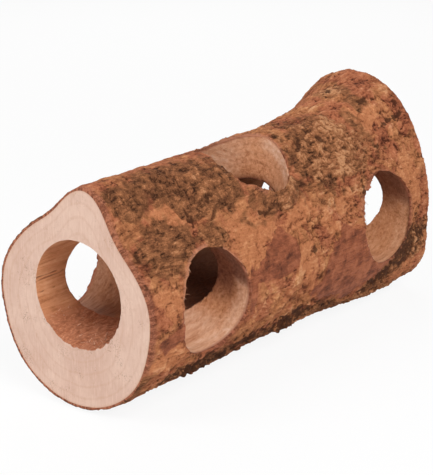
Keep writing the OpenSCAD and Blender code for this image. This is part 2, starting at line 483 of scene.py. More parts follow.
trial = fractal(unrolled(stations, 0*stations)*0.1, 4, 1)
print("noise runs from", round(trial.min(), 2), "to", round(trial.max(), 2))

# %% [markdown]
# ## The bark's own map
# Handling and weather have marked this log. In some places the bark is grey-brown and crumbly, in others it
# is rubbed to a smooth purple-brown skin or scraped to a bright tan, and in others it stands in small lumps
# with dark creases or has split into shards. A painter would put these on an image map. We place them
# as leaning ovals instead: distance from the front cut, angle, half-length, half-width in mm, and lean in
# degrees, which is more than 0 where the oval rises towards the rear on the near side. The largest smooth
# patches have straight edges, so they are told by their corners. Noise makes all edges ragged.

# %% The bark's own map
weathered_ovals = [
    (16, 110, 14, 7, 0), (44, 107, 22, 8, 0), (72, 116, 24, 13, 0), (25, 136, 18, 12, 0), (57, 139, 8, 7, 0),
    (106, 133, 20, 9, 8), (166, 119, 40, 19, 0), (226, 198, 20, 8, 32), (199, 212, 18, 7, 22),
    (128, 226, 40, 9, 0), (56, 222, 30, 6, 0), (180, 229, 30, 8, 10), (218, 88, 9, 7, 0), (216, 104, 7, 5, 0),
    (62, 62, 28, 13, 0), (150, 58, 38, 15, 0), (112, 8, 34, 18, 0), (62, 312, 38, 11, 0),
    (190, 316, 40, 11, 0), (20, 340, 14, 16, 0), (236, 30, 12, 22, 0),
]
smooth_ovals = [
    (75, 181, 2.5, 14, 0), (192, 206, 16, 3.5, 18), (120, 250, 40, 10, 5), (40, 262, 30, 9, 0),
    (150, 20, 20, 9, 20), (86, 340, 26, 8, 10), (20, 30, 14, 10, 0), (226, 330, 14, 12, 10),
]
smooth_patches = [
    (1.6, [(104, 150), (115, 161), (116, 175), (102, 180), (66, 175)]),
    (4.0, [(157, 164), (176, 172), (196, 207), (172, 219), (130, 203)]),
    (1.6, [(6, 188), (27, 177), (28, 187), (12, 196)]),
]
scraped_ovals = [
    (36, 124, 17, 9, 15), (84, 146, 18, 13, 0), (78, 158, 12, 9, 35), (125, 147, 16, 5, 10),
    (55, 127, 6, 4, 0), (20, 168, 13, 7, 0), (17, 201, 12, 7, 0), (124, 177, 9, 14, 20),
    (166, 151, 14, 6, 10),
    (148, 160, 5, 8, 40), (212, 111, 13, 8, 0), (230, 158, 10, 22, 0), (226, 214, 11, 7, 20),
    (70, 30, 20, 9, 10), (180, 300, 24, 8, 5), (140, 330, 18, 9, 15),
]
lumpy_ovals = [
    (105, 193, 28, 12, 5), (140, 149, 18, 10, 5), (186, 148, 14, 8, 10), (15, 199, 14, 14, 0),
    (140, 206, 20, 8, 10), (100, 290, 40, 14, 0), (200, 40, 24, 14, 0), (30, 20, 20, 14, 0),
]
cracked_ovals = [(168, 152, 32, 12, 8), (142, 174, 12, 17, 20)]
dark_nicks = [
    (172, 138, 1.8, 3.0, 0), (187, 146, 1.2, 4.5, 0), (131, 171, 4.0, 1.8, 25), (97, 139, 4.0, 1.2, 0),
    (63, 122, 4.0, 1.2, 20), (48, 127, 1.2, 4.5, 10), (7, 138, 1.2, 3.5, 0), (232, 119, 11, 1.0, 4),
    (222, 106, 5, 1.6, 0), (218, 87, 7, 1.4, 10), (211, 128, 2.5, 1.5, 0), (101, 152, 2.5, 1.0, 0),
    (168, 116, 1.2, 4.0, 20), (150, 112, 5, 1.2, 30), (225, 198, 17, 6.5, 32), (201, 212, 14, 4.5, 20),
    # The last four nicks darken the bark low on the near side: painted shade under the log.
    (46, 225, 26, 7, 0), (26, 226, 11, 5, 0), (88, 222, 16, 6, 0), (122, 219, 16, 5, 0),
]
hanging_ovals = [
    (44, 227, 18, 5, 0), (27, 225, 6, 3.5, 0), (66, 227, 7, 3, 0), (88, 226, 8, 3.5, 0), (122, 225, 9, 4, 0),
]


def oval_cover(s, turn, ovals, ragged, soft, fineness=0.22):
    """How far each place lies inside any of the ovals, from 0 outside to 1 well inside."""
    wander = ragged*fractal(unrolled(s, turn)*fineness, 3, 401)
    cover = np.zeros(np.shape(s + turn))
    for along, angle, half_length, half_width, lean in ovals:
        du = s - along
        dv = mm_round(turn, angle)
        c = np.cos(np.radians(lean))
        d = np.sin(np.radians(lean))
        off = np.hypot((du*c - dv*d)/half_length, (du*d + dv*c)/half_width)
        cover = np.maximum(cover, ease(1 + soft, 1 - soft, off + wander))
    return cover


def patch_cover(s, turn, patches, soft):
    """The same for patches told by the raggedness of their edge and their corners: distance, and angle."""
    wander = fractal(unrolled(s, turn)*0.2, 4, 409)
    cover = np.zeros(np.shape(s + turn))
    for ragged, corners in patches:
        places = np.array(corners, float)
        middle = places.mean(axis=0)
        u = s - middle[0]
        v = mm_round(turn, middle[1])
        spots = (places - middle)*(1.0, np.pi/180*mean_radius)
        off = np.full(np.shape(s + turn), -1000.0)
        for a, b in zip(spots, np.roll(spots, -1, axis=0)):
            out = np.array((b[1] - a[1], a[0] - b[0]))
            out = out/np.linalg.norm(out)*np.sign(a @ out)
            off = np.maximum(off, (u - a[0])*out[0] + (v - a[1])*out[1])
        cover = np.maximum(cover, ease(soft, -soft, off + ragged*wander))
    return cover


print(len(weathered_ovals), "weathered,", len(smooth_ovals), "smooth,", len(scraped_ovals), "scraped,",
      len(lumpy_ovals), "lumpy,", len(cracked_ovals), "cracked,", len(dark_nicks), "nicks")

# %% [markdown]
# ## Relief of the inner bark
# Many things make the inner bark: slow swells, thin layers that end in steps where one has flaked off,
# fibres along the log, plates with creases between them, lumps and nicks. Behind the top hole it grows
# coarser, with long flakes, and with shards that dark slits set apart. The steps come from rounding a noise
# to whole layers, and the lumps from folding a noise at zero: a plain noise has no crisp edges, and those are
# what makes it read as bark. A few bosses stand prouder, and low on the near side bits of bark hang loose.
# The tone made here is partly painted light and shade: lighter on lumps, flakes and ridges, darker in
# creases, slits and flake gaps, along the layer steps and on the hanging bits.

# %% Relief of the inner bark
bosses = [
    (34, 99, 22, 8, 0.8), (206, 222, 18, 6, 1.0), (97, 127, 7, 6, 2.6), (102, 131, 7, 6, 2.4),
    (109, 134, 7, 5, 1.2),
]


def boss_height(s, turn):
    """Height of the bosses, told by distance and angle, half-length and half-width in mm, and rise."""
    total = 0.0
    for along, angle, half_length, half_width, rise in bosses:
        dv = mm_round(turn, angle)
        total = total + rise*np.exp(-((s - along)/half_length)**2 - (dv/half_width)**2)
    return total


def coarse(s):
    """How coarse the bark has grown: from 0 at the front to 1 behind the top hole."""
    return ease(105, 150, s)


def three_noises(points, octaves, seed):
    """Three noises as a vector that shifts places about."""
    return np.stack([fractal(points, octaves, seed + k) for k in range(3)], axis=-1)


def flakes(s, turn):
    """Long flakes on the coarse bark: their height, and the shadow along their edges."""
    place = unrolled(s, turn)
    bent = place + 2.0*three_noises(place*0.12, 3, 261)
    raw = 3.0*fractal(bent*(0.045, 0.20, 0.20), 4, 251)
    part = raw - np.floor(raw)
    riser = ease(0.78, 1.0, part)
    grown = coarse(s)
    return grown*np.clip(np.floor(raw) + riser, -1.6, 1.6), grown*ease(0.5, 0.78, part)*(1 - riser)


def bark_relief(s, turn):
    """Height over the CAD face in mm, and the numbers that the bark's colour needs."""
    place = unrolled(s, turn)
    bent = place + fractal(place*0.05, 2, 61)[..., None]*np.array((6.0, 3.0, 3.0))
    grown = coarse(s)
    smooth = np.maximum(oval_cover(s, turn, smooth_ovals, 0.25, 0.10),
                        patch_cover(s, turn, smooth_patches, 0.8))
    scraped = oval_cover(s, turn, scraped_ovals, 0.7, 0.3)*(1 - smooth)
    weathered = oval_cover(s, turn, weathered_ovals, 0.6, 0.45)*(1 - smooth)
    lumpy = oval_cover(s, turn, lumpy_ovals, 0.6, 0.4)*(1 - smooth)
    cracked = oval_cover(s, turn, cracked_ovals, 0.5, 0.35)*(1 - smooth)
    nick = oval_cover(s, turn, dark_nicks, 1.5, 0.6, 0.5)
    hanging = oval_cover(s, turn, hanging_ovals, 0.6, 0.4)
    hanging = hanging*np.maximum(fractal(place*(0.13, 0.3, 0.3), 4, 93) + 0.2, 0)
    swells = fractal(place*(0.045, 0.07, 0.07), 3, 11)
    raw = 2.4*fractal(bent*(0.085, 0.17, 0.17), 4, 23)
    step = ease(0.34, 0.66, raw - np.floor(raw))
    layer = np.floor(raw) + step - 0.5
    edge = 4*step*(1 - step)
    fibres = fractal(bent*(0.09, 0.62, 0.62), 3, 31)
    lumps = 2*np.abs(fractal(bent*(0.13, 0.19, 0.19), 3, 53)) - 0.5
    jagged = bent + 1.8*three_noises(place*0.3, 3, 67)
    plate, border = plates(jagged*(0.085, 0.16, 0.16), 71)
    slit = cracked*ease(0.17, 0.02, border)
    crease = ease(0.24, 0.02, border)*ease(-0.2, 0.4, fractal(place*0.07, 2, 79))
    crumbs = fractal(place*(0.40, 0.52, 0.52), 3, 227)
    flake, gap = flakes(s, turn)
    pitting = ease(0.66, 0.95, fractal(bent*(0.16, 0.34, 0.34), 3, 47))*(1 - scraped)
    pitting = pitting*(1 - 0.6*ease(140, 180, s))
    pit = np.maximum(0.8*pitting, nick)*(1 - 0.8*smooth)
    rough = 1 - 0.85*smooth - 0.7*scraped*(1 - smooth)
    along_top = np.exp(-((np.degrees(turn) % 360 - 90)/24)**2)
    ridges = fractal(bent*(0.03, 0.38, 0.38), 3, 37)*ease(130, 190, s)*along_top
    height = 0.15*swells + rough*(0.25*layer + 0.32*plate - 0.45*crease + 0.3*flake - 0.4*gap)
    height = height + rough*(0.22 + 0.3*grown)*fibres
    height = height + (0.22*rough*(1 - 0.6*grown) + 0.85*lumpy)*lumps
    height = height + (0.35 - 0.15*grown)*weathered*crumbs + 3.0*hanging + 0.7*ridges
    height = height + 0.45*cracked*plate - 0.8*slit
    height = height - 0.7*pit - 0.2*smooth - 0.15*scraped + boss_height(s, turn)
    # Painted light and shade in the tone: lighter on lumps, flakes and ridges, darker in creases, slits and
    # flake gaps, along layer steps and on hanging bits.
    tone = (0.03 + 0.08*grown)*fibres - 0.04*layer - 0.06*edge + 0.05*plate - 0.24*crease
    tone = rough*(tone + 0.05*flake - 0.22*gap)
    tone = tone - 0.25*hanging + 0.06*grown + cracked*(0.07 + 0.08*plate) - 0.3*slit
    tone = tone + (0.05*rough + 0.22*lumpy)*lumps + 0.10*weathered*crumbs + 0.12*ridges
    return height, {"smooth": smooth, "scraped": scraped, "weathered": weathered, "pit": pit, "tone": tone}


trial, masks = bark_relief(stations[:, None], turns[None, :])
print("relief from", round(trial.min(), 2), "to", round(trial.max(), 2), "mm, mean", round(trial.mean(), 2),
      {name: round(values.mean(), 2) for name, values in masks.items()})

# %% [markdown]
# ## Meshes from grids
# Every large piece here starts as a grid of points wrapped round the log. These helpers turn such a grid into
# quads and a list of points into an object. Building from arrays is far quicker than adding faces one by one.

# %% Meshes from grids
def ring_steps(count):
    """Each place round a ring, and the next one."""
    j = np.arange(count)
    return j, (j + 1) % count


def grid_faces(rows, columns, start=0, outward=True):
    """Quads of a grid whose columns close into rings."""
    i, j = np.meshgrid(np.arange(rows - 1), np.arange(columns), indexing="ij")
    k = (j + 1) % columns
    quads = np.stack((i*columns + j, i*columns + k, (i + 1)*columns + k, (i + 1)*columns + j), axis=-1)
    quads = quads.reshape(-1, 4) + start
    return quads if outward else quads[:, ::-1]


def new_piece(name, points, faces):
    """An object from points in mm."""
    mesh = bpy.data.meshes.new(name)
    mesh.from_pydata((MM*np.asarray(points)).tolist(), [], [list(map(int, f)) for f in faces])
    mesh.validate()
    piece = bpy.data.objects.new(name, mesh)
    bpy.context.collection.objects.link(piece)
    return piece


def points_of(piece):
    flat = np.empty(3*len(piece.data.vertices))
    piece.data.vertices.foreach_get("co", flat)
    return flat.reshape(-1, 3)/MM


def move_points(piece, points):
    """Puts points in mm back into a piece, kept inside the CAD box and above the floor."""
    low, high = (np.array(corner)/MM for corner in cad_box)
    inside = np.clip(points, low, high)
    piece.data.vertices.foreach_set("co", (MM*inside).ravel())
    piece.data.update()


def store(piece, name, values):
    """Keeps a number, or a vector, for each point, for the material to read."""
    kind = "FLOAT_VECTOR" if np.ndim(values) == 2 else "FLOAT"
    attribute = piece.data.attributes.new(name, kind, "POINT")
    attribute.data.foreach_set("vector" if kind == "FLOAT_VECTOR" else "value", np.ravel(values))


def drill_out(piece, cutters):
    """Cuts closed meshes out of a piece and applies the cut."""
    for cutter in cutters:
        cut = piece.modifiers.new("drill", "BOOLEAN")
        cut.operation = "DIFFERENCE"
        cut.solver = "MANIFOLD"
        cut.object = cutter
        shaped = bpy.data.meshes.new_from_object(piece.evaluated_get(bpy.context.evaluated_depsgraph_get()))
        piece.modifiers.remove(cut)
        spent = piece.data
        piece.data = shaped
        bpy.data.meshes.remove(spent)


def discard(pieces):
    for piece in pieces:
        mesh = piece.data
        bpy.data.objects.remove(piece)
        bpy.data.meshes.remove(mesh)


print("three rings of ten points have", len(grid_faces(3, 10)), "quads between them")

# %% [markdown]
# ## Drills
# A drill is a closed rod with fine rows of points, so that the wall it leaves has points enough for its own
# relief. Through the bark the drill tears: its rod has a ragged radius there, mostly a little larger than the
# hole. Where it is smaller, a flap of bark hangs over the hole, as on the front of the two near holes. A flap
# is told by its reach in mm, its turn about the drill in degrees, its half-width and its raggedness.

# %% Drills
def drill_rod(name, start, way, across, up, depths, radius, around):
    """A closed rod along a way out; radius is a function of the depth and the turn."""
    turn = np.linspace(0, 2*np.pi, around, endpoint=False)
    depth, turn = np.meshgrid(depths, turn, indexing="ij")
    size = radius(depth, turn)
    ring = size[..., None]*(np.cos(turn)[..., None]*across + np.sin(turn)[..., None]*up)
    points = (start + depth[..., None]*way + ring).reshape(-1, 3)
    rows = len(depths)
    ends = [start + depths[0]*way, start + depths[-1]*way]
    points = np.concatenate((points, ends))
    j, k = ring_steps(around)
    first = np.stack((np.full(around, rows*around), k, j), axis=-1)
    last = np.stack((np.full(around, rows*around + 1), j + (rows - 1)*around, k + (rows - 1)*around), axis=-1)
    return new_piece(name, points, [*grid_faces(rows, around), *first, *last])


def cross_drill(name, radius, row_step, fine_from=14.0, tip=82.0, around=180):
    """A rod from the bore's axis out through the bark, with rows of points where it meets the log."""
    depths = np.concatenate(([0.0], np.arange(fine_from, tip, row_step)))
    return drill_rod("drill_" + name, *hole_axes(name), depths, radius, around)


bark_flaps = {
    "near_front": [(0.7, 115, 0.9, 0.2), (0.9, 180, 0.25, 0.9)],
    "near_rear": [(2.6, 132, 0.55, 0.6), (1.8, 325, 0.9, 0.1)],
    "top": [(0.7, 245, 0.6, 0.4)],
}


def torn_radius(name):
    """The drill's radius through bark: clean in places, torn back in others, smaller where a flap is left."""
    seed = 77 + len(name)

    def radius(depth, turn):
        place = np.stack((4.5*np.cos(turn), 4.5*np.sin(turn), 0.02*depth), axis=-1)
        torn = 1.3*ease(0.1, 1.0, fractal(place, 4, seed))
        flaps = 0.0
        for reach, middle, half_width, ragged in bark_flaps.get(name, []):
            side = np.angle(np.exp(1j*(turn - np.radians(middle))))
            torn = torn*(1 - np.exp(-(side/(half_width + 0.25))**4))
            edge = np.clip(0.85 + ragged*fractal(2.0*place, 4, seed + 9), 0, 1.3)
            flaps = flaps + reach*edge*np.exp(-(side/half_width)**4)
        return hole_radius + 0.12 + torn - flaps

    return radius


torn_drills = [cross_drill(name, torn_radius(name), 4.0) for name in cross_holes]
print(len(torn_drills), "drills for the bark")

# %% [markdown]
# ## Inner bark
# On the real log this is the fibrous sheath between wood and outer bark. It could be the wood's own surface
# with a displaced material, but then the torn rims at the holes and the thin dark line at the saw cuts would
# be missing. So it is a closed shell with real thickness, drilled first and given its relief afterwards. The
# numbers that its colour needs are kept with its points.

# %% Inner bark
bark_rows = 250
bark_columns = 430
lining_rows = 40


def crowded_turns(count, crowding=0.35, crest=np.radians(98)):
    """Turns round the log that lie closer together over the crest and the flare, where it is widest."""
    even = np.linspace(0, 2*np.pi, count, endpoint=False)
    return even - crowding*np.sin(even - crest)


def sheath(name, rows, columns, inner_rows, inner_depth):
    """A closed shell from the bark's face down to a given depth."""
    turn = crowded_turns(columns)[None, :]
    outer_s = np.linspace(0, log_length, rows)[:, None]
    inner_s = np.linspace(0, log_length, inner_rows)[:, None]
    outer = log_point(outer_s, turn, face_at(outer_s, turn + 0*outer_s))
    inner = log_point(inner_s, turn, face_at(inner_s, turn + 0*inner_s) - inner_depth)
    points = np.concatenate((outer.reshape(-1, 3), inner.reshape(-1, 3)))
    count = rows*columns
    j, k = ring_steps(columns)
    front = np.stack((k, j, count + j, count + k), axis=-1)
    back = (rows - 1)*columns
    deep = count + (inner_rows - 1)*columns
    rear = np.stack((back + j, back + k, deep + k, deep + j), axis=-1)
    faces = [*grid_faces(rows, columns), *grid_faces(inner_rows, columns, count, False), *front, *rear]
    return new_piece(name, points, faces)


inner_bark = sheath("inner_bark_skin", bark_rows, bark_columns, lining_rows, bark_thickness)
drill_out(inner_bark, torn_drills)
bark_points = points_of(inner_bark)
s, turn, radius = log_place(bark_points)
depth = face_at(s, turn) - radius
outside = np.clip(1 - depth/bark_thickness, 0, 1)
height, masks = bark_relief(s, turn)
rim = rim_distance(bark_points)
from_cut = np.minimum(s, log_length - s)
curl = 0.5*np.exp(-rim/1.6)*fractal(unrolled(s, turn)*0.3, 2, 83)
fray = np.exp(-from_cut/1.2)*(0.25*fractal(unrolled(s, turn)*0.5, 3, 89) - 0.1)
lifted = radius + outside*((0.4 + 0.6*ease(0, 5, from_cut))*height + curl + fray)
lifted = np.maximum(lifted, face_at(s, turn) - depth - outside*(bark_thickness - 0.25))
move_points(inner_bark, log_point(s, turn, lifted))

angle = np.degrees(turn) % 360
near_side = ease(60, 85, angle)*ease(215, 195, angle)
masks["weathered"] = np.maximum(masks["weathered"], np.exp(-(s/6.0)**2)*(1 - near_side))
masks["depth"] = depth
masks["rim"] = np.exp(-np.maximum(rim, 0)/1.5)
# Painted light: the torn bark at the far rims of the holes and along the front hole's upper rim is painted
# paler.
far_rim_light = masks["rim"]*ease(0.95, 0.65, np.abs(turn - 1.1))
front_off, front_turn = drill_place(bark_points, "near_front")[1:]
front_rim_light = ease(1.6, 0.4, front_off - hole_radius)*ease(0.1, 0.5, np.sin(front_turn))
front_rim_light = 0.45*front_rim_light*ease(190, 170, angle)*ease(120, 140, angle)
masks["fresh"] = np.maximum(far_rim_light, front_rim_light)
masks["cut"] = np.exp(-(s/4.0)**2)*near_side
masks["place"] = unrolled(s, turn)
for name, values in masks.items():
    store(inner_bark, name, values)
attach(inner_bark, "root")
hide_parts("inner_bark")
print("inner bark:", len(inner_bark.data.polygons), "faces")

# %% [markdown]
# ## Wood
# The debarked log is a closed solid. Its ends are grids of rings about the pith, so that saw marks can be
# real, and the drills leave fine walls, so that those can have their own relief.

# %% Wood
def log_body(name, rows, columns, end_rings, sink):
    """The log as a closed solid, sunk below the bark's face, with grids over its ends."""
    turn = crowded_turns(columns)[None, :]
    along = np.linspace(0, log_length, rows)[:, None]
    skin = log_point(along, turn, face_at(along, turn + 0*along) - sink).reshape(-1, 3)
    shares = np.linspace(1, 0.05, end_rings)[1:, None]
    points = [skin]
    faces = [*grid_faces(rows, columns)]
    start = rows*columns
    j, k = ring_steps(columns)
    for end, outward in ((0.0, True), (log_length, False)):
        edge = face_at(end + 0*turn, turn) - sink
        cap = log_point(end + 0*shares, turn, edge*shares).reshape(-1, 3)
        rim_start = 0 if end == 0.0 else (rows - 1)*columns
        ring = np.stack((j + rim_start, k + rim_start, start + k, start + j), axis=-1)
        hub = start + (end_rings - 1)*columns
        fan = np.stack((np.full(columns, hub), hub - columns + j, hub - columns + k), axis=-1)
        cap_faces = grid_faces(end_rings - 1, columns, start, True)
        if outward:
            faces += [*ring[:, ::-1], *cap_faces[:, ::-1], *fan[:, ::-1]]
        else:
            faces += [*ring, *cap_faces, *fan]
        points += [cap, log_point(np.array([end]), np.zeros(1), np.zeros(1))]
        start = hub + 1
    return new_piece(name, np.concatenate(points), faces)


wood_rows = 60
wood_columns = 240
end_rings = 26
overrun = 5
wood = log_body("wood_core", wood_rows, wood_columns, end_rings, bark_thickness)
bore_start = np.array((-log_length/2 - overrun, 0.0, axis_height))
bore_depths = np.linspace(0, log_length + 2*overrun, 170)
bore_rod = drill_rod("drill_bore", bore_start, *np.eye(3), bore_depths, lambda d, t: bore_radius + 0*d, 220)
clean_drills = [cross_drill(name, lambda d, t: hole_radius + 0*d, 1.5) for name in cross_holes]
drill_out(wood, [bore_rod, *clean_drills])
discard([bore_rod, *clean_drills])
print("wood:", len(wood.data.polygons), "faces after drilling")

# %% [markdown]
# ## Wall of the bore
# After drilling, the walls get what a drill leaves in green wood. The long drill ran along the grain, so the
# bore has streaks along it and torn tufts low down. Three drying cracks start at the front cut on its far
# side: each is told by its angle, its end and its half-width. All of these shift the wall's points a little
# outwards or inwards. Deep inside the bore, painted shade darkens the wall, except where light from the top
# hole reaches it.

# %% Wall of the bore
on_wall = 0.05
drying_cracks = [(2, 44, 0.35), (6, 34, 0.25), (-9, 26, 0.2)]
wood_points = points_of(wood)
wood_s, wood_turn, wood_radius = log_place(wood_points)
wood_under = face_at(wood_s, wood_turn) - bark_thickness - wood_radius
y = wood_points[:, 1]
z = wood_points[:, 2] - axis_height
bore_turn = np.arctan2(z, y)
bore_out = np.hypot(y, z)
in_bore = np.abs(bore_out - bore_radius) < on_wall
wall_y = bore_radius*np.cos(bore_turn)
wall_z = bore_radius*np.sin(bore_turn)
wall_place = np.stack((wood_points[:, 0], wall_y, wall_z), axis=-1)
angle = np.degrees(bore_turn) % 360
torn_low = ease(165, 235, angle)*ease(352, 305, angle)
streaks = fractal(wall_place*(0.02, 0.4, 0.4), 3, 103)
tufts = fractal(wall_place*(0.30, 0.7, 0.7), 3, 107)
crack = 0.0
for middle, end, half_width in drying_cracks:
    line = np.radians(middle) + 0.03*fractal(wall_place*(0.06, 0.0, 0.0), 2, 109 + middle)
    off = np.angle(np.exp(1j*(bore_turn - line)))*bore_radius
    crack = np.maximum(crack, np.exp(-(off/half_width)**2)*ease(end, end - 22, wood_s))
bore_shift = 0.08*streaks + (0.06 + 0.6*torn_low)*tufts + 0.4*crack
moved = wood_points.copy()
moved[:, 1] += np.where(in_bore, bore_shift*np.cos(bore_turn), 0)
moved[:, 2] += np.where(in_bore, bore_shift*np.sin(bore_turn), 0)
# Painted shade: the bore's wall grows darker deep inside, and keeps its lighter colour where light through
# the top hole falls.
lit_from_top = ease(138, 150, wood_s)*ease(200, 185, wood_s)*ease(5, 20, angle)*ease(65, 50, angle)
inside = ease(35, 75, np.minimum(wood_s, log_length - wood_s))*(1 - lit_from_top)
for name, values in (("torn", torn_low), ("crack", crack), ("inside", inside)):
    store(wood, name, np.where(in_bore, values, 0.0))
print("bore wall", int(in_bore.sum()), "points")

# %% [markdown]
# ## Walls of the cross holes, and the ends
# A drill across the grain leaves faint rings and flecks. Just under the bark the wood is pale sapwood, and
# further in it is redder. Painted shade darkens the wall of each side hole high up. The two holes that the
# camera sees best have some more: on the front one painted light makes the wall pale low down and painted
# shade makes it red round the bore, and the top one has a painted highlight, a bright crescent at its rear
# edge, and painted shade where it meets the bore. The saw leaves shallow marks on both ends.

# %% Walls of the cross holes, and the ends
sapwood = ease(9.0, 5.5, wood_under + 1.5*fractal(wood_points*(0.03, 0.2, 0.2), 3, 137))
# For each side hole: how strongly its wall takes the painted shade and redder heartwood, and how pale its
# sapwood is.
wall_strengths = {
    "near_front": (0.92, 0.9),
    "near_rear": (0.8, 0.25),
    "far_front": (0.5, 0.25),
    "far_rear": (0.5, 0.25),
}


def wall_tints_light_and_shade(name, turn, rise):
    """Red from heartwood and painted shade, pale from sapwood and painted light, and a painted edge
    highlight, on a hole's wall.
    """
    from_bore = bore_out - bore_radius
    if name == "top":
        # Painted highlight: a bright crescent at the top hole's rear edge.
        highlight_crescent = ease(0.78, 0.96, np.cos(turn + 0.25))*ease(7.5, 4.5, wood_under)
        pale = np.maximum(highlight_crescent, (0.2 + 0.5*ease(0.35, 0.9, turn))*ease(26, 10, wood_under))
        # On the top hole, the red close to the bore is painted shade; deeper in the wood it is redder
        # heartwood.
        red = np.maximum(0.28*ease(8, 26, wood_under), 0.9*np.exp(-from_bore/3.0))*(1 - pale)
        return red, pale, 1.6*highlight_crescent
    in_front = name == "near_front"
    # Painted shade: a side hole's wall darkens to red high up, more so deeper in the wood and, on the front
    # hole, up to the rim; only the small share that follows depth alone is redder heartwood.
    high = ease(-22, 4, rise) if in_front else ease(-14, 10, rise)
    shade_to_rim = ease(-2, 6, rise) if in_front else ease(0.4, 0.9, high)
    shaded = high*np.maximum(ease(2, 12, wood_under), shade_to_rim)
    redness, paleness = wall_strengths[name]
    red = redness*np.maximum(shaded, 0.2*ease(5, 10, wood_under))
    pale = paleness*sapwood
    if in_front:
        # Painted shade reddens the front hole's wall round the bore.
        red = np.maximum(red, 0.42*np.exp(-from_bore/8.0)*ease(-24, -8, rise))
        # Painted light makes the front hole's wall pale low down.
        pale = np.maximum(pale, 0.7*ease(-13, -21, rise))
    return red, pale, 0.0


in_hole = np.zeros(len(wood_points), bool)
red_and_shaded_wall, pale_and_lit_wall, painted_edge_highlight = np.zeros((3, len(wood_points)))
for name in cross_holes:
    start, way, across, up = hole_axes(name)
    depth, off_axis, turn = drill_place(wood_points, name)
    here = (np.abs(off_axis - hole_radius) < on_wall) & (depth > 8)
    ring_place = np.stack((0.75*depth, 1.2*np.cos(turn), 1.2*np.sin(turn)), axis=-1)
    fleck_place = np.stack((0.5*depth, 14*np.cos(turn), 14*np.sin(turn)), axis=-1)
    shift = 0.11*fractal(ring_place, 3, 113) + 0.10*fractal(fleck_place, 2, 127)
    push = shift[:, None]*(np.cos(turn)[:, None]*across + np.sin(turn)[:, None]*up)
    moved += np.where(here[:, None], push, 0)
    in_hole |= here
    red, pale, bright = wall_tints_light_and_shade(name, turn, (wood_points - start) @ up)
    red_and_shaded_wall = np.where(here, red, red_and_shaded_wall)
    pale_and_lit_wall = np.where(here, pale, pale_and_lit_wall)
    painted_edge_highlight = np.where(here, bright, painted_edge_highlight)
at_end = np.abs(np.abs(wood_points[:, 0]) - log_length/2) < 0.01
saw = 0.5 + 0.5*fractal(wood_points*(0.0, 0.05, 0.7), 3, 131)
moved[:, 0] -= np.where(at_end, np.sign(wood_points[:, 0])*0.16*saw, 0)
move_points(wood, moved)
store(wood, "ring", 40*wood_radius/(wood_radius + wood_under))
# The top hole's painted highlight is added to the depth under the bark, so the darker line under the bark
# keeps off it.
store(wood, "under", wood_under + painted_edge_highlight)
store(wood, "red", red_and_shaded_wall)
store(wood, "pale", pale_and_lit_wall)
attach(wood, "root")
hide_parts("wood_log")
print("hole walls", int(in_hole.sum()), "points, sawn ends", int(at_end.sum()), "points")

# %% [markdown]
# ## Scales of outer bark
# The oldest bark is left as thin, rough, dark scales. Each one is read from its CAD solid by rays, so it
# lies where the CAD model has it and stands as far out, and noise eats into its edge. It is a closed shell
# whose rim dives under the inner bark's face, so it ends in a thin torn edge and not in a wall. At the holes
# only the undrilled side is counted, so a scale keeps its height there until the drill cuts it.

# %% Scales of outer bark
scale_step = 0.75
scale_margin = 4.0
least_radius = 40


def scale_grid(node):
    """Places over a scale with a margin, how much of each the CAD scale covers, and how far it stands out."""
    corners = 1000*np.array([v.co for v in frame["nodes"][node].data.vertices])
    s, turn, radius = log_place(corners)
    middle = np.angle(np.exp(1j*turn).mean())
    swing = np.angle(np.exp(1j*(turn - middle)))
    low_s = max(0.0, s.min() - scale_margin)
    high_s = min(log_length, s.max() + scale_margin)
    low_t = swing.min() - scale_margin/mean_radius
    high_t = swing.max() + scale_margin/mean_radius
    grid_s = np.linspace(low_s, high_s, int((high_s - low_s)/scale_step) + 2)
    grid_t = middle + np.linspace(low_t, high_t, int((high_t - low_t)*mean_radius/scale_step) + 2)
    target = ray_target(node)
    inner = np.clip(grid_s, end_inset, log_length - end_inset)
    found = np.array([[radius_from_outside(target, a, b) for b in grid_t] for a in inner])
    grid_s, grid_t = np.meshgrid(grid_s, grid_t, indexing="ij")
    face = face_at(grid_s, grid_t)
    undrilled = (rim_distance(log_point(grid_s, grid_t, face)) > 0.3).astype(float)
    hit = undrilled*(found > least_radius)
    cover = blurred(hit, 2.6, "edge")
    rise = blurred(hit*(found - face), 1.3, "edge")/np.maximum(blurred(hit, 1.3, "edge"), 0.02)
    return grid_s, grid_t, cover/np.maximum(blurred(undrilled, 2.6, "edge"), 0.05), rise


def scale_relief(s, turn, cover, rise):
    """How far a place lies inside a scale's ragged edge, and the scale's height over the bark's face."""
    place = unrolled(s, turn)
    grown = coarse(s)
    ragged = 0.55*fractal(place*(0.13, 0.18, 0.18), 4, 211) + 0.12*fractal(place*0.8, 2, 223)
    share = cover - 0.42 + 0.62*ragged*ease(4.0, 1.5, rise)
    crust = fractal(place*(0.40, 0.52, 0.52), 3, 227)
    lumps = 2*np.abs(fractal(place*(0.13, 0.19, 0.19), 3, 229)) - 0.5
    grooves = fractal(place*(0.06, 0.30, 0.30), 4, 241)
    proud = np.maximum(rise - 1.5, 0)
    body = 1.35*ease(-0.04, 0.30, share) - 0.85 + 1.35*proud*ease(-0.3, 0.0, share)
    flake, gap = flakes(s, turn)
    crumbly = (0.3 - 0.12*grown)*crust + 0.25*(1 - 0.8*grown)*lumps + (0.15 + 0.35*grown)*grooves
    crumbly = crumbly + 0.35*flake - 0.35*gap
    return share, body + crumbly*ease(0.0, 0.25, share)


def kept_cells(share):
    """Cells of a grid that lie well enough inside a scale, without lone ones."""
    low = np.minimum(np.minimum(share[:-1, :-1], share[1:, :-1]), np.minimum(share[:-1, 1:], share[1:, 1:]))
    keep = low > -0.10
    return keep & (blurred(keep.astype(float), 1.5, "edge") >= 0.3)


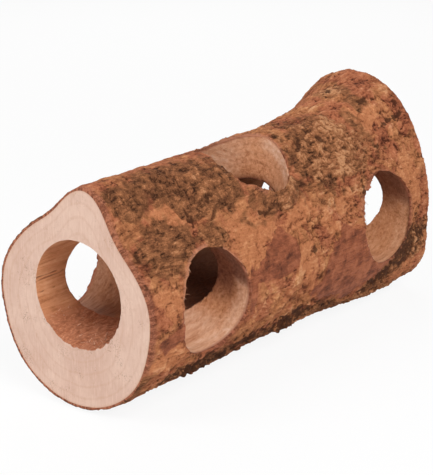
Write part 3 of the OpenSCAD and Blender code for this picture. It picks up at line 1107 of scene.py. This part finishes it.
def shell_over(s, turn, top, bottom, keep):
    """Points and faces of a closed shell over the kept cells of a grid, with walls along their edge."""
    rows, columns = s.shape
    count = rows*columns
    upper = log_point(s, turn, top).reshape(-1, 3)
    lower = log_point(s, turn, bottom).reshape(-1, 3)
    i, j = np.nonzero(keep)
    corner = i*columns + j
    quads = np.stack((corner, corner + 1, corner + columns + 1, corner + columns), axis=-1)
    framed = np.pad(keep, 1)
    walls = []
    for (a, b), side in (((0, 1), (-1, 0)), ((1, 2), (0, 1)), ((2, 3), (1, 0)), ((3, 0), (0, -1))):
        open_side = ~framed[i + 1 + side[0], j + 1 + side[1]]
        p = quads[open_side, a]
        q = quads[open_side, b]
        walls.append(np.stack((q, p, p + count, q + count), axis=-1))
    faces = np.concatenate((quads, quads[:, ::-1] + count, *walls))
    used, compact = np.unique(faces, return_inverse=True)
    return np.concatenate((upper, lower))[used], compact.reshape(faces.shape)


scale_names = [name for name in frame["nodes"] if name.endswith("_scale")]
print(len(scale_names), "scales, read every", scale_step, "mm")

# %% [markdown]
# ## Building the scales
# A scale is built over the relief of the bark under it, then drilled if it lies near a hole. Its colour is
# the bark's own, but more weathered the further it stands out, with painted light that makes it lighter on
# its high places and painted shadow in the gaps between its flakes.

# %% Building the scales
scales = []
for node in scale_names:
    s, turn, cover, rise = scale_grid(node)
    share, height = scale_relief(s, turn, cover, rise)
    face = face_at(s, turn)
    top = face + 0.7*bark_relief(s, turn)[0] + height
    bottom = np.minimum(face - 0.9, top - 0.3)
    points, faces = shell_over(s, turn, top, bottom, kept_cells(share))
    piece = new_piece(node.replace("_scale", "_rough_bark"), points, faces)
    if rim_distance(points).min() < 3:
        drill_out(piece, torn_drills)
    points = points_of(piece)
    move_points(piece, points)
    s, turn, radius = log_place(points)
    under, masks = bark_relief(s, turn)
    proud = radius - face_at(s, turn) - 0.7*under
    flake, gap = flakes(s, turn)
    # Painted light and shadow: lighter where the scale stands proud and on its flakes, darker in the gaps
    # between them.
    tone = masks["tone"] + 0.22*np.clip(proud - 0.5 - 0.35*flake, -0.8, 0.8) + 0.02*flake - 0.12*gap
    store(piece, "tone", tone + 0.27*coarse(s) + 0.02)
    store(piece, "weathered", np.maximum(masks["weathered"], ease(-0.6, 0.5, proud)))
    store(piece, "scraped", 0.4*masks["scraped"])
    store(piece, "pit", masks["pit"])
    store(piece, "cut", np.exp(-(s/4.0)**2))
    store(piece, "place", unrolled(s, turn))
    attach(piece, "root")
    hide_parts(node)
    scales.append(piece)
discard(torn_drills)
print(len(scales), "scales,", sum(len(p.data.polygons) for p in scales), "faces")

# %% [markdown]
# ## Bark's finish
# All the bark is one stuff in four states, so the sheath and the scales share one graph. A tone, made of
# noises at three sizes and of the relief itself, runs through a row of browns; each state has its own row:
# orange-brown as it grew, tan where scraped, grey-olive where weathered, purple-brown where rubbed smooth.
# The kept tone carries painted light and shade from the relief, and the cracks darken it with painted shade.
# Noise breaks every edge between states: a mask alone would look like camouflage. Torn bark shows at the
# rims, at the saw cuts and below the face, and painted light makes it paler at some rims.

# %% Bark's finish
def bark_finish(name):
    g = Graph(bpy.data.materials.new(name))
    place = g.kept("place", "Vector")
    blotch = g.noise(place, 0.15, 3.0, 0.55, 0.5)
    fibre = g.noise(g.stretched(place, (0.28, 1.0, 1.0)), 0.6, 5.0, 0.62, 0.7)
    crumb = g.noise(place, 0.75, 4.0, 0.68)
    speck = g.noise(place, 2.0, 3.0, 0.7)
    grain = g.noise(place, 1.3, 3.0, 0.75)
    border = g.border(g.stretched(g.bent(place, 0.4, 3.5), (0.32, 1.0, 1.0)), 0.33)
    in_places = g.level(g.noise(place, 0.22, 2.0), 0.48, 0.64)
    crack = g.math("MULTIPLY", g.level(border, 0.12, 0.01), in_places)
    crack = g.math("MULTIPLY", crack, g.level(g.kept("smooth"), 0.5, 0.1))
    # The cracks darken the tone: painted shade in them, while their bump sinks them.
    tone = g.weighed(-0.95, (g.kept("tone"), 1.0), (blotch, 0.7), (fibre, 0.9), (crumb, 0.9), (speck, 0.5),
                     (crack, -0.30))
    ochre = g.ramp(tone, (0.12, (88, 51, 32)), (0.35, (144, 89, 58)), (0.55, (176, 114, 75)),
                   (0.75, (196, 132, 88)), (0.95, (216, 161, 117)))
    russet = g.ramp(tone, (0.12, (82, 43, 29)), (0.35, (138, 78, 54)), (0.55, (169, 101, 70)),
                    (0.75, (188, 118, 83)), (0.95, (208, 148, 111)))
    colour = g.over(ochre, g.noise(place, 0.07, 3.0, 0.6, 0.8), 0.42, 0.58, 1.0, russet)
    tan = g.ramp(tone, (0.15, (124, 72, 46)), (0.42, (182, 114, 76)), (0.65, (198, 129, 87)),
                 (0.9, (216, 156, 113)))
    scraped = g.weighed(-0.7, (g.kept("scraped"), 1.0), (fibre, 0.9), (crumb, 0.5))
    colour = g.over(colour, scraped, 0.25, 0.75, 0.9, tan)
    old_tone = g.weighed(-1.6, (g.kept("tone"), 0.9), (blotch, 0.7), (fibre, 1.4), (crumb, 0.7), (grain, 0.8),
                         (speck, 0.6), (crack, -0.25))
    old = g.ramp(old_tone, (0.08, (50, 31, 20)), (0.34, (98, 62, 40)), (0.56, (131, 84, 55)),
                 (0.80, (168, 110, 73)), (0.98, (198, 143, 102)))
    weathered = g.weighed(-1.5, (g.kept("weathered"), 1.0), (crumb, 1.0), (grain, 0.8), (blotch, 1.2))
    colour = g.over(colour, weathered, 0.15, 0.95, 0.95, old)
    scratch = g.noise(g.stretched(place, (0.10, 1.0, 1.0)), 1.1, 4.0, 0.6, 0.4)
    sheen_tone = g.weighed(-1.35, (fibre, 0.8), (speck, 0.8), (blotch, 1.5), (scratch, 0.6),
                           (g.kept("tone"), 1.0))
    purple = g.ramp(sheen_tone, (0.15, (82, 42, 28)), (0.5, (141, 79, 54)), (0.85, (176, 106, 74)))
    smooth = g.weighed(-0.55, (g.kept("smooth"), 1.0), (fibre, 0.6), (crumb, 0.5))
    colour = g.over(colour, smooth, 0.3, 0.7, 0.95, purple)
    shreds = g.weighed(-0.5, (fibre, 1.0), (grain, 1.0))
    torn = g.over(paint(122, 70, 52), shreds, 0.35, 0.65, 1.0, paint(184, 118, 90))
    # Painted light makes the torn bark paler at some rims.
    torn = g.over(torn, g.kept("fresh"), 0.1, 0.5, 0.8, paint(206, 146, 116))
    cut = g.weighed(-1.15, (g.kept("cut"), 1.0), (crumb, 1.1), (blotch, 0.9))
    colour = g.over(colour, cut, 0.15, 0.65, 0.85, torn)
    colour = g.over(colour, g.kept("rim"), 0.30, 0.9, 0.55, torn)
    pit = g.weighed(-0.7, (g.kept("pit"), 1.0), (crumb, 0.8), (grain, 0.6))
    colour = g.over(colour, pit, 0.25, 0.95, 0.85, paint(68, 40, 26))
    colour = g.over(colour, g.kept("depth"), 0.2, 0.6, 1.0, torn)
    rough = g.level(g.kept("smooth"), 0.0, 1.0, 0.9, 0.62)
    relief = g.weighed(0.0, (fibre, 0.55), (crumb, 0.55), (speck, 0.25), (crack, -0.35))
    return g.finish(colour, rough, 0.1, g.bump(relief, 1.0))


def dress(piece, material, crease=40):
    """Gives a piece its material and smooth shading up to a crease angle in degrees."""
    piece.data.materials.clear()
    piece.data.materials.append(material)
    piece.data.shade_smooth()
    piece.data.set_sharp_from_angle(angle=np.radians(crease))


dress(inner_bark, bark_finish("inner_bark_finish"), 60)
outer_finish = bark_finish("outer_bark_finish")
for piece in scales:
    dress(piece, outer_finish, 60)
print("inner bark and", len(scales), "scales dressed")

# %% [markdown]
# ## Wood's two finishes
# Freshly sawn end grain is pale and pinkish, with faint growth rings and fine saw scratches. The drilled
# walls are warmer and darker, streaked along the grain: pale sapwood just under the bark, redder wood further
# in, painted shade high on the walls of the cross holes and deep in the bore, and painted light low in the
# front hole and at the top hole's rear edge. They are two materials on one piece, chosen by which way each
# face looks and where it lies.

# %% Wood's two finishes
def end_grain_finish():
    g = Graph(bpy.data.materials.new("end_grain_finish"))
    place = g.place_in_mm()
    broad = g.noise(place, 0.045, 3.0, 0.55)
    scratch = g.noise(g.stretched(place, (1.0, 1.0, 0.14)), 1.2, 4.0, 0.65)
    fine = g.noise(place, 1.6, 4.0, 0.7)
    sparse = g.noise(place, 0.10, 2.0, 0.5)
    stain = g.noise(place, 0.35, 4.0, 0.65)
    ring = g.weighed(-2.5, (g.kept("ring"), 1.0), (broad, 3.0), (fine, 1.2), (sparse, 1.5))
    band = g.math("SINE", g.weighed(0.0, (ring, 1.25)))
    speck = g.weighed(-0.55, (fine, 1.0), (sparse, 0.6))
    colour = g.over(paint(220, 188, 170), broad, 0.35, 0.65, 1.0, paint(210, 175, 157))
    colour = g.over(colour, band, 0.70, 1.0, 0.24, paint(198, 154, 130))
    colour = g.over(colour, scratch, 0.50, 0.68, 0.30, paint(236, 208, 192))
    colour = g.over(colour, scratch, 0.48, 0.30, 0.30, paint(200, 157, 133))
    colour = g.over(colour, stain, 0.52, 0.70, 0.35, paint(200, 160, 138))
    colour = g.over(colour, speck, 0.405, 0.47, 0.6, paint(138, 96, 76))
    colour = g.over(colour, g.kept("under"), 1.2, 0.1, 0.5, paint(206, 162, 134))
    return g.finish(colour, 0.75, 0.2, g.bump(fine, 0.08, g.bump(scratch, 0.10)))


def drilled_wood_finish():
    g = Graph(bpy.data.materials.new("drilled_wood_finish"))
    place = g.place_in_mm()
    streak = g.noise(g.stretched(place, (0.06, 1.0, 1.0)), 0.55, 6.0, 0.62, 0.3)
    fleck = g.noise(g.stretched(place, (0.4, 1.0, 1.0)), 1.1, 5.0, 0.65)
    broad = g.noise(place, 0.05, 3.0)
    tone = g.weighed(-0.72, (streak, 1.3), (fleck, 0.6), (broad, 0.6))
    heart = g.ramp(tone, (0.2, (158, 101, 64)), (0.45, (198, 135, 94)), (0.65, (210, 150, 109)),
                   (0.85, (220, 167, 128)))
    sap = g.ramp(tone, (0.2, (194, 136, 102)), (0.45, (216, 164, 131)), (0.7, (228, 185, 157)),
                 (0.9, (238, 204, 182)))
    # The dark ramp deep is painted shade on the walls of the cross holes, with some redder heartwood.
    deep = g.ramp(tone, (0.2, (72, 36, 25)), (0.5, (104, 55, 39)), (0.8, (132, 76, 55)))
    shreds = g.ramp(fleck, (0.3, (116, 66, 46)), (0.5, (170, 106, 76)), (0.7, (204, 140, 106)))
    band = g.math("SINE", g.weighed(0.0, (g.kept("under"), 1.3), (broad, 5.0)))
    torn = g.weighed(-0.6, (g.kept("torn"), 1.0), (fleck, 1.2))
    # The kept number pale is pale sapwood, with painted light low in the front hole and a painted highlight
    # at the top hole's rear edge.
    colour = g.mix(g.kept("pale"), heart, sap)
    colour = g.over(colour, band, 0.3, 1.0, 0.12, paint(150, 92, 66))
    colour = g.over(colour, g.kept("red"), 0.0, 1.0, 0.9, deep)
    colour = g.over(colour, torn, 0.3, 0.9, 0.85, shreds)
    # Painted shade deep in the bore.
    colour = g.over(colour, g.kept("inside"), 0.0, 1.0, 0.8, paint(72, 39, 26))
    colour = g.over(colour, g.kept("crack"), 0.2, 0.7, 0.7, paint(110, 66, 42))
    colour = g.over(colour, g.kept("under"), 1.5, 0.2, 0.65, paint(164, 100, 76))
    return g.finish(colour, 0.7, 0.2, g.bump(fleck, 0.2, g.bump(streak, 0.25)))


dress(wood, end_grain_finish(), 35)
wood.data.materials.append(drilled_wood_finish())
normals, centres = np.empty((2, 3*len(wood.data.polygons)))
wood.data.polygons.foreach_get("normal", normals)
wood.data.polygons.foreach_get("center", centres)
facing = np.abs(normals.reshape(-1, 3)[:, 0]) > 0.8
on_cut = np.abs(centres.reshape(-1, 3)[:, 0])/MM > log_length/2 - 0.5
wood.data.polygons.foreach_set("material_index", np.where(facing & on_cut, 0, 1).astype(np.int32))
wood.data.update()
print("end grain on", int((facing & on_cut).sum()), "faces")

# %% [markdown]
# ## Frayed fibres
# Where the drill broke out through the bark, it left loose fibres on the rims, and the long drill left a nap
# of them on the floor of the bore. They are short tapered strands that start in the torn surface and bend
# into the hole. Hair particles would do too, but small tubes are plain meshes that stay with the object when
# exported. A frayed part of a rim is told by two turns about the drill in degrees, a count, and the longest
# strand in mm.

# %% Frayed fibres
chance = np.random.default_rng(17)
nap_count = 260
nap_deepest = 60.0
nap_longest = 5.5
frays = {
    "near_front": (115, 185, 26, 3.4),
    "near_rear": (110, 250, 26, 3.8),
    "top": (150, 300, 22, 5.0),
    "far_front": (0, 360, 24, 3.0),
    "far_rear": (0, 360, 24, 3.0),
}


def strand(root, lean, drop, length, thickness, sides=5, rings=6):
    """Points and faces of one closed tapered strand that bends from one direction to another."""
    share = np.linspace(0, 1, rings)
    spine = root + length*(share[:, None]*lean + share[:, None]**2*drop)
    ahead = np.gradient(spine, axis=0)
    ahead /= np.linalg.norm(ahead, axis=1)[:, None]
    side = np.cross(ahead, (0.3, 0.5, 0.8))
    side /= np.linalg.norm(side, axis=1)[:, None]
    over = np.cross(ahead, side)
    round_turn = np.linspace(0, 2*np.pi, sides, endpoint=False)
    size = thickness*(1.0 - 0.85*share)
    ring = np.cos(round_turn)[None, :, None]*side[:, None] + np.sin(round_turn)[None, :, None]*over[:, None]
    points = (spine[:, None] + size[:, None, None]*ring).reshape(-1, 3)
    faces = [tuple(f) for f in grid_faces(rings, sides)]
    faces += [tuple(range(sides))[::-1], tuple(range((rings - 1)*sides, rings*sides))]
    return points, faces


def rim_strands(name, first, last, count, longest):
    """Strands along part of a hole's rim."""
    start, way, across, up = hole_axes(name)
    for place in chance.uniform(np.radians(first), np.radians(last), count):
        outward = np.cos(place)*across + np.sin(place)*up
        reach = np.arange(15.0, 80.0, 0.25)
        s, turn, radius = log_place(start + (hole_radius + 0.5)*outward + reach[:, None]*way)
        surface = reach[np.argmax(radius > face_at(s, turn) - 0.5)] - chance.uniform(0.1, 1.2)
        root = start + (torn_radius(name)(surface, place) + 0.5)*outward + surface*way
        sideways = np.cross(way, outward)*chance.uniform(-0.9, 0.9)
        lean = -outward*chance.uniform(0.3, 0.9) + sideways + way*chance.uniform(-0.1, 0.5)
        drop = -outward*chance.uniform(0.0, 0.4) + np.array((0.0, 0.0, -chance.uniform(0.1, 0.6)))
        length = longest*chance.uniform(0.25, 1.0)
        yield strand(root, lean, drop, length, chance.uniform(0.12, 0.30))


def nap_strands(count, deepest, longest):
    """Strands that lie along the floor of the bore, near the front cut, and not over a cross hole."""
    for place in chance.uniform(np.radians(215), np.radians(325), count):
        outward = np.array((0.0, np.cos(place), np.sin(place)))
        along = chance.uniform(1.5, deepest)
        root = np.array((along - log_length/2, 0.0, axis_height)) + (bore_radius + 0.6)*outward
        if rim_distance(root) < 1.0:
            continue
        lean = np.array((chance.uniform(-1, 1), 0.0, 0.0)) - chance.uniform(0.25, 0.6)*outward
        drop = 0.3*chance.uniform(-1, 1)*np.cross(outward, (1.0, 0.0, 0.0))
        length = longest*chance.uniform(0.3, 1.0)
        yield strand(root, lean, drop, length, chance.uniform(0.14, 0.28))


def fibre_piece(name, strands, finish):
    """Many strands as one piece."""
    points = []
    faces = []
    for new_points, new_faces in strands:
        faces += [tuple(v + len(points) for v in f) for f in new_faces]
        points += new_points.tolist()
    piece = new_piece(name, points, faces)
    move_points(piece, points_of(piece))
    s, turn, radius = log_place(points_of(piece))
    store(piece, "place", unrolled(s, turn))
    dress(piece, finish, 80)
    return piece


def fibre_finish():
    g = Graph(bpy.data.materials.new("loose_fibre_finish"))
    shade = g.noise(g.kept("place", "Vector"), 0.6, 3.0)
    colour = g.over(paint(172, 112, 82), shade, 0.40, 0.62, 1.0, paint(226, 184, 156))
    return g.finish(colour, 0.85, 0.2, g.bump(shade, 0.05))


pale_fibres = fibre_finish()
for name, numbers in frays.items():
    fray = fibre_piece(name + "_rim_fibres", rim_strands(name, *numbers), pale_fibres)
    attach(fray, "root")
nap = fibre_piece("bore_nap", nap_strands(nap_count, nap_deepest, nap_longest), pale_fibres)
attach(nap, "root")
print(len(frays), "frayed rims and the nap of the bore")
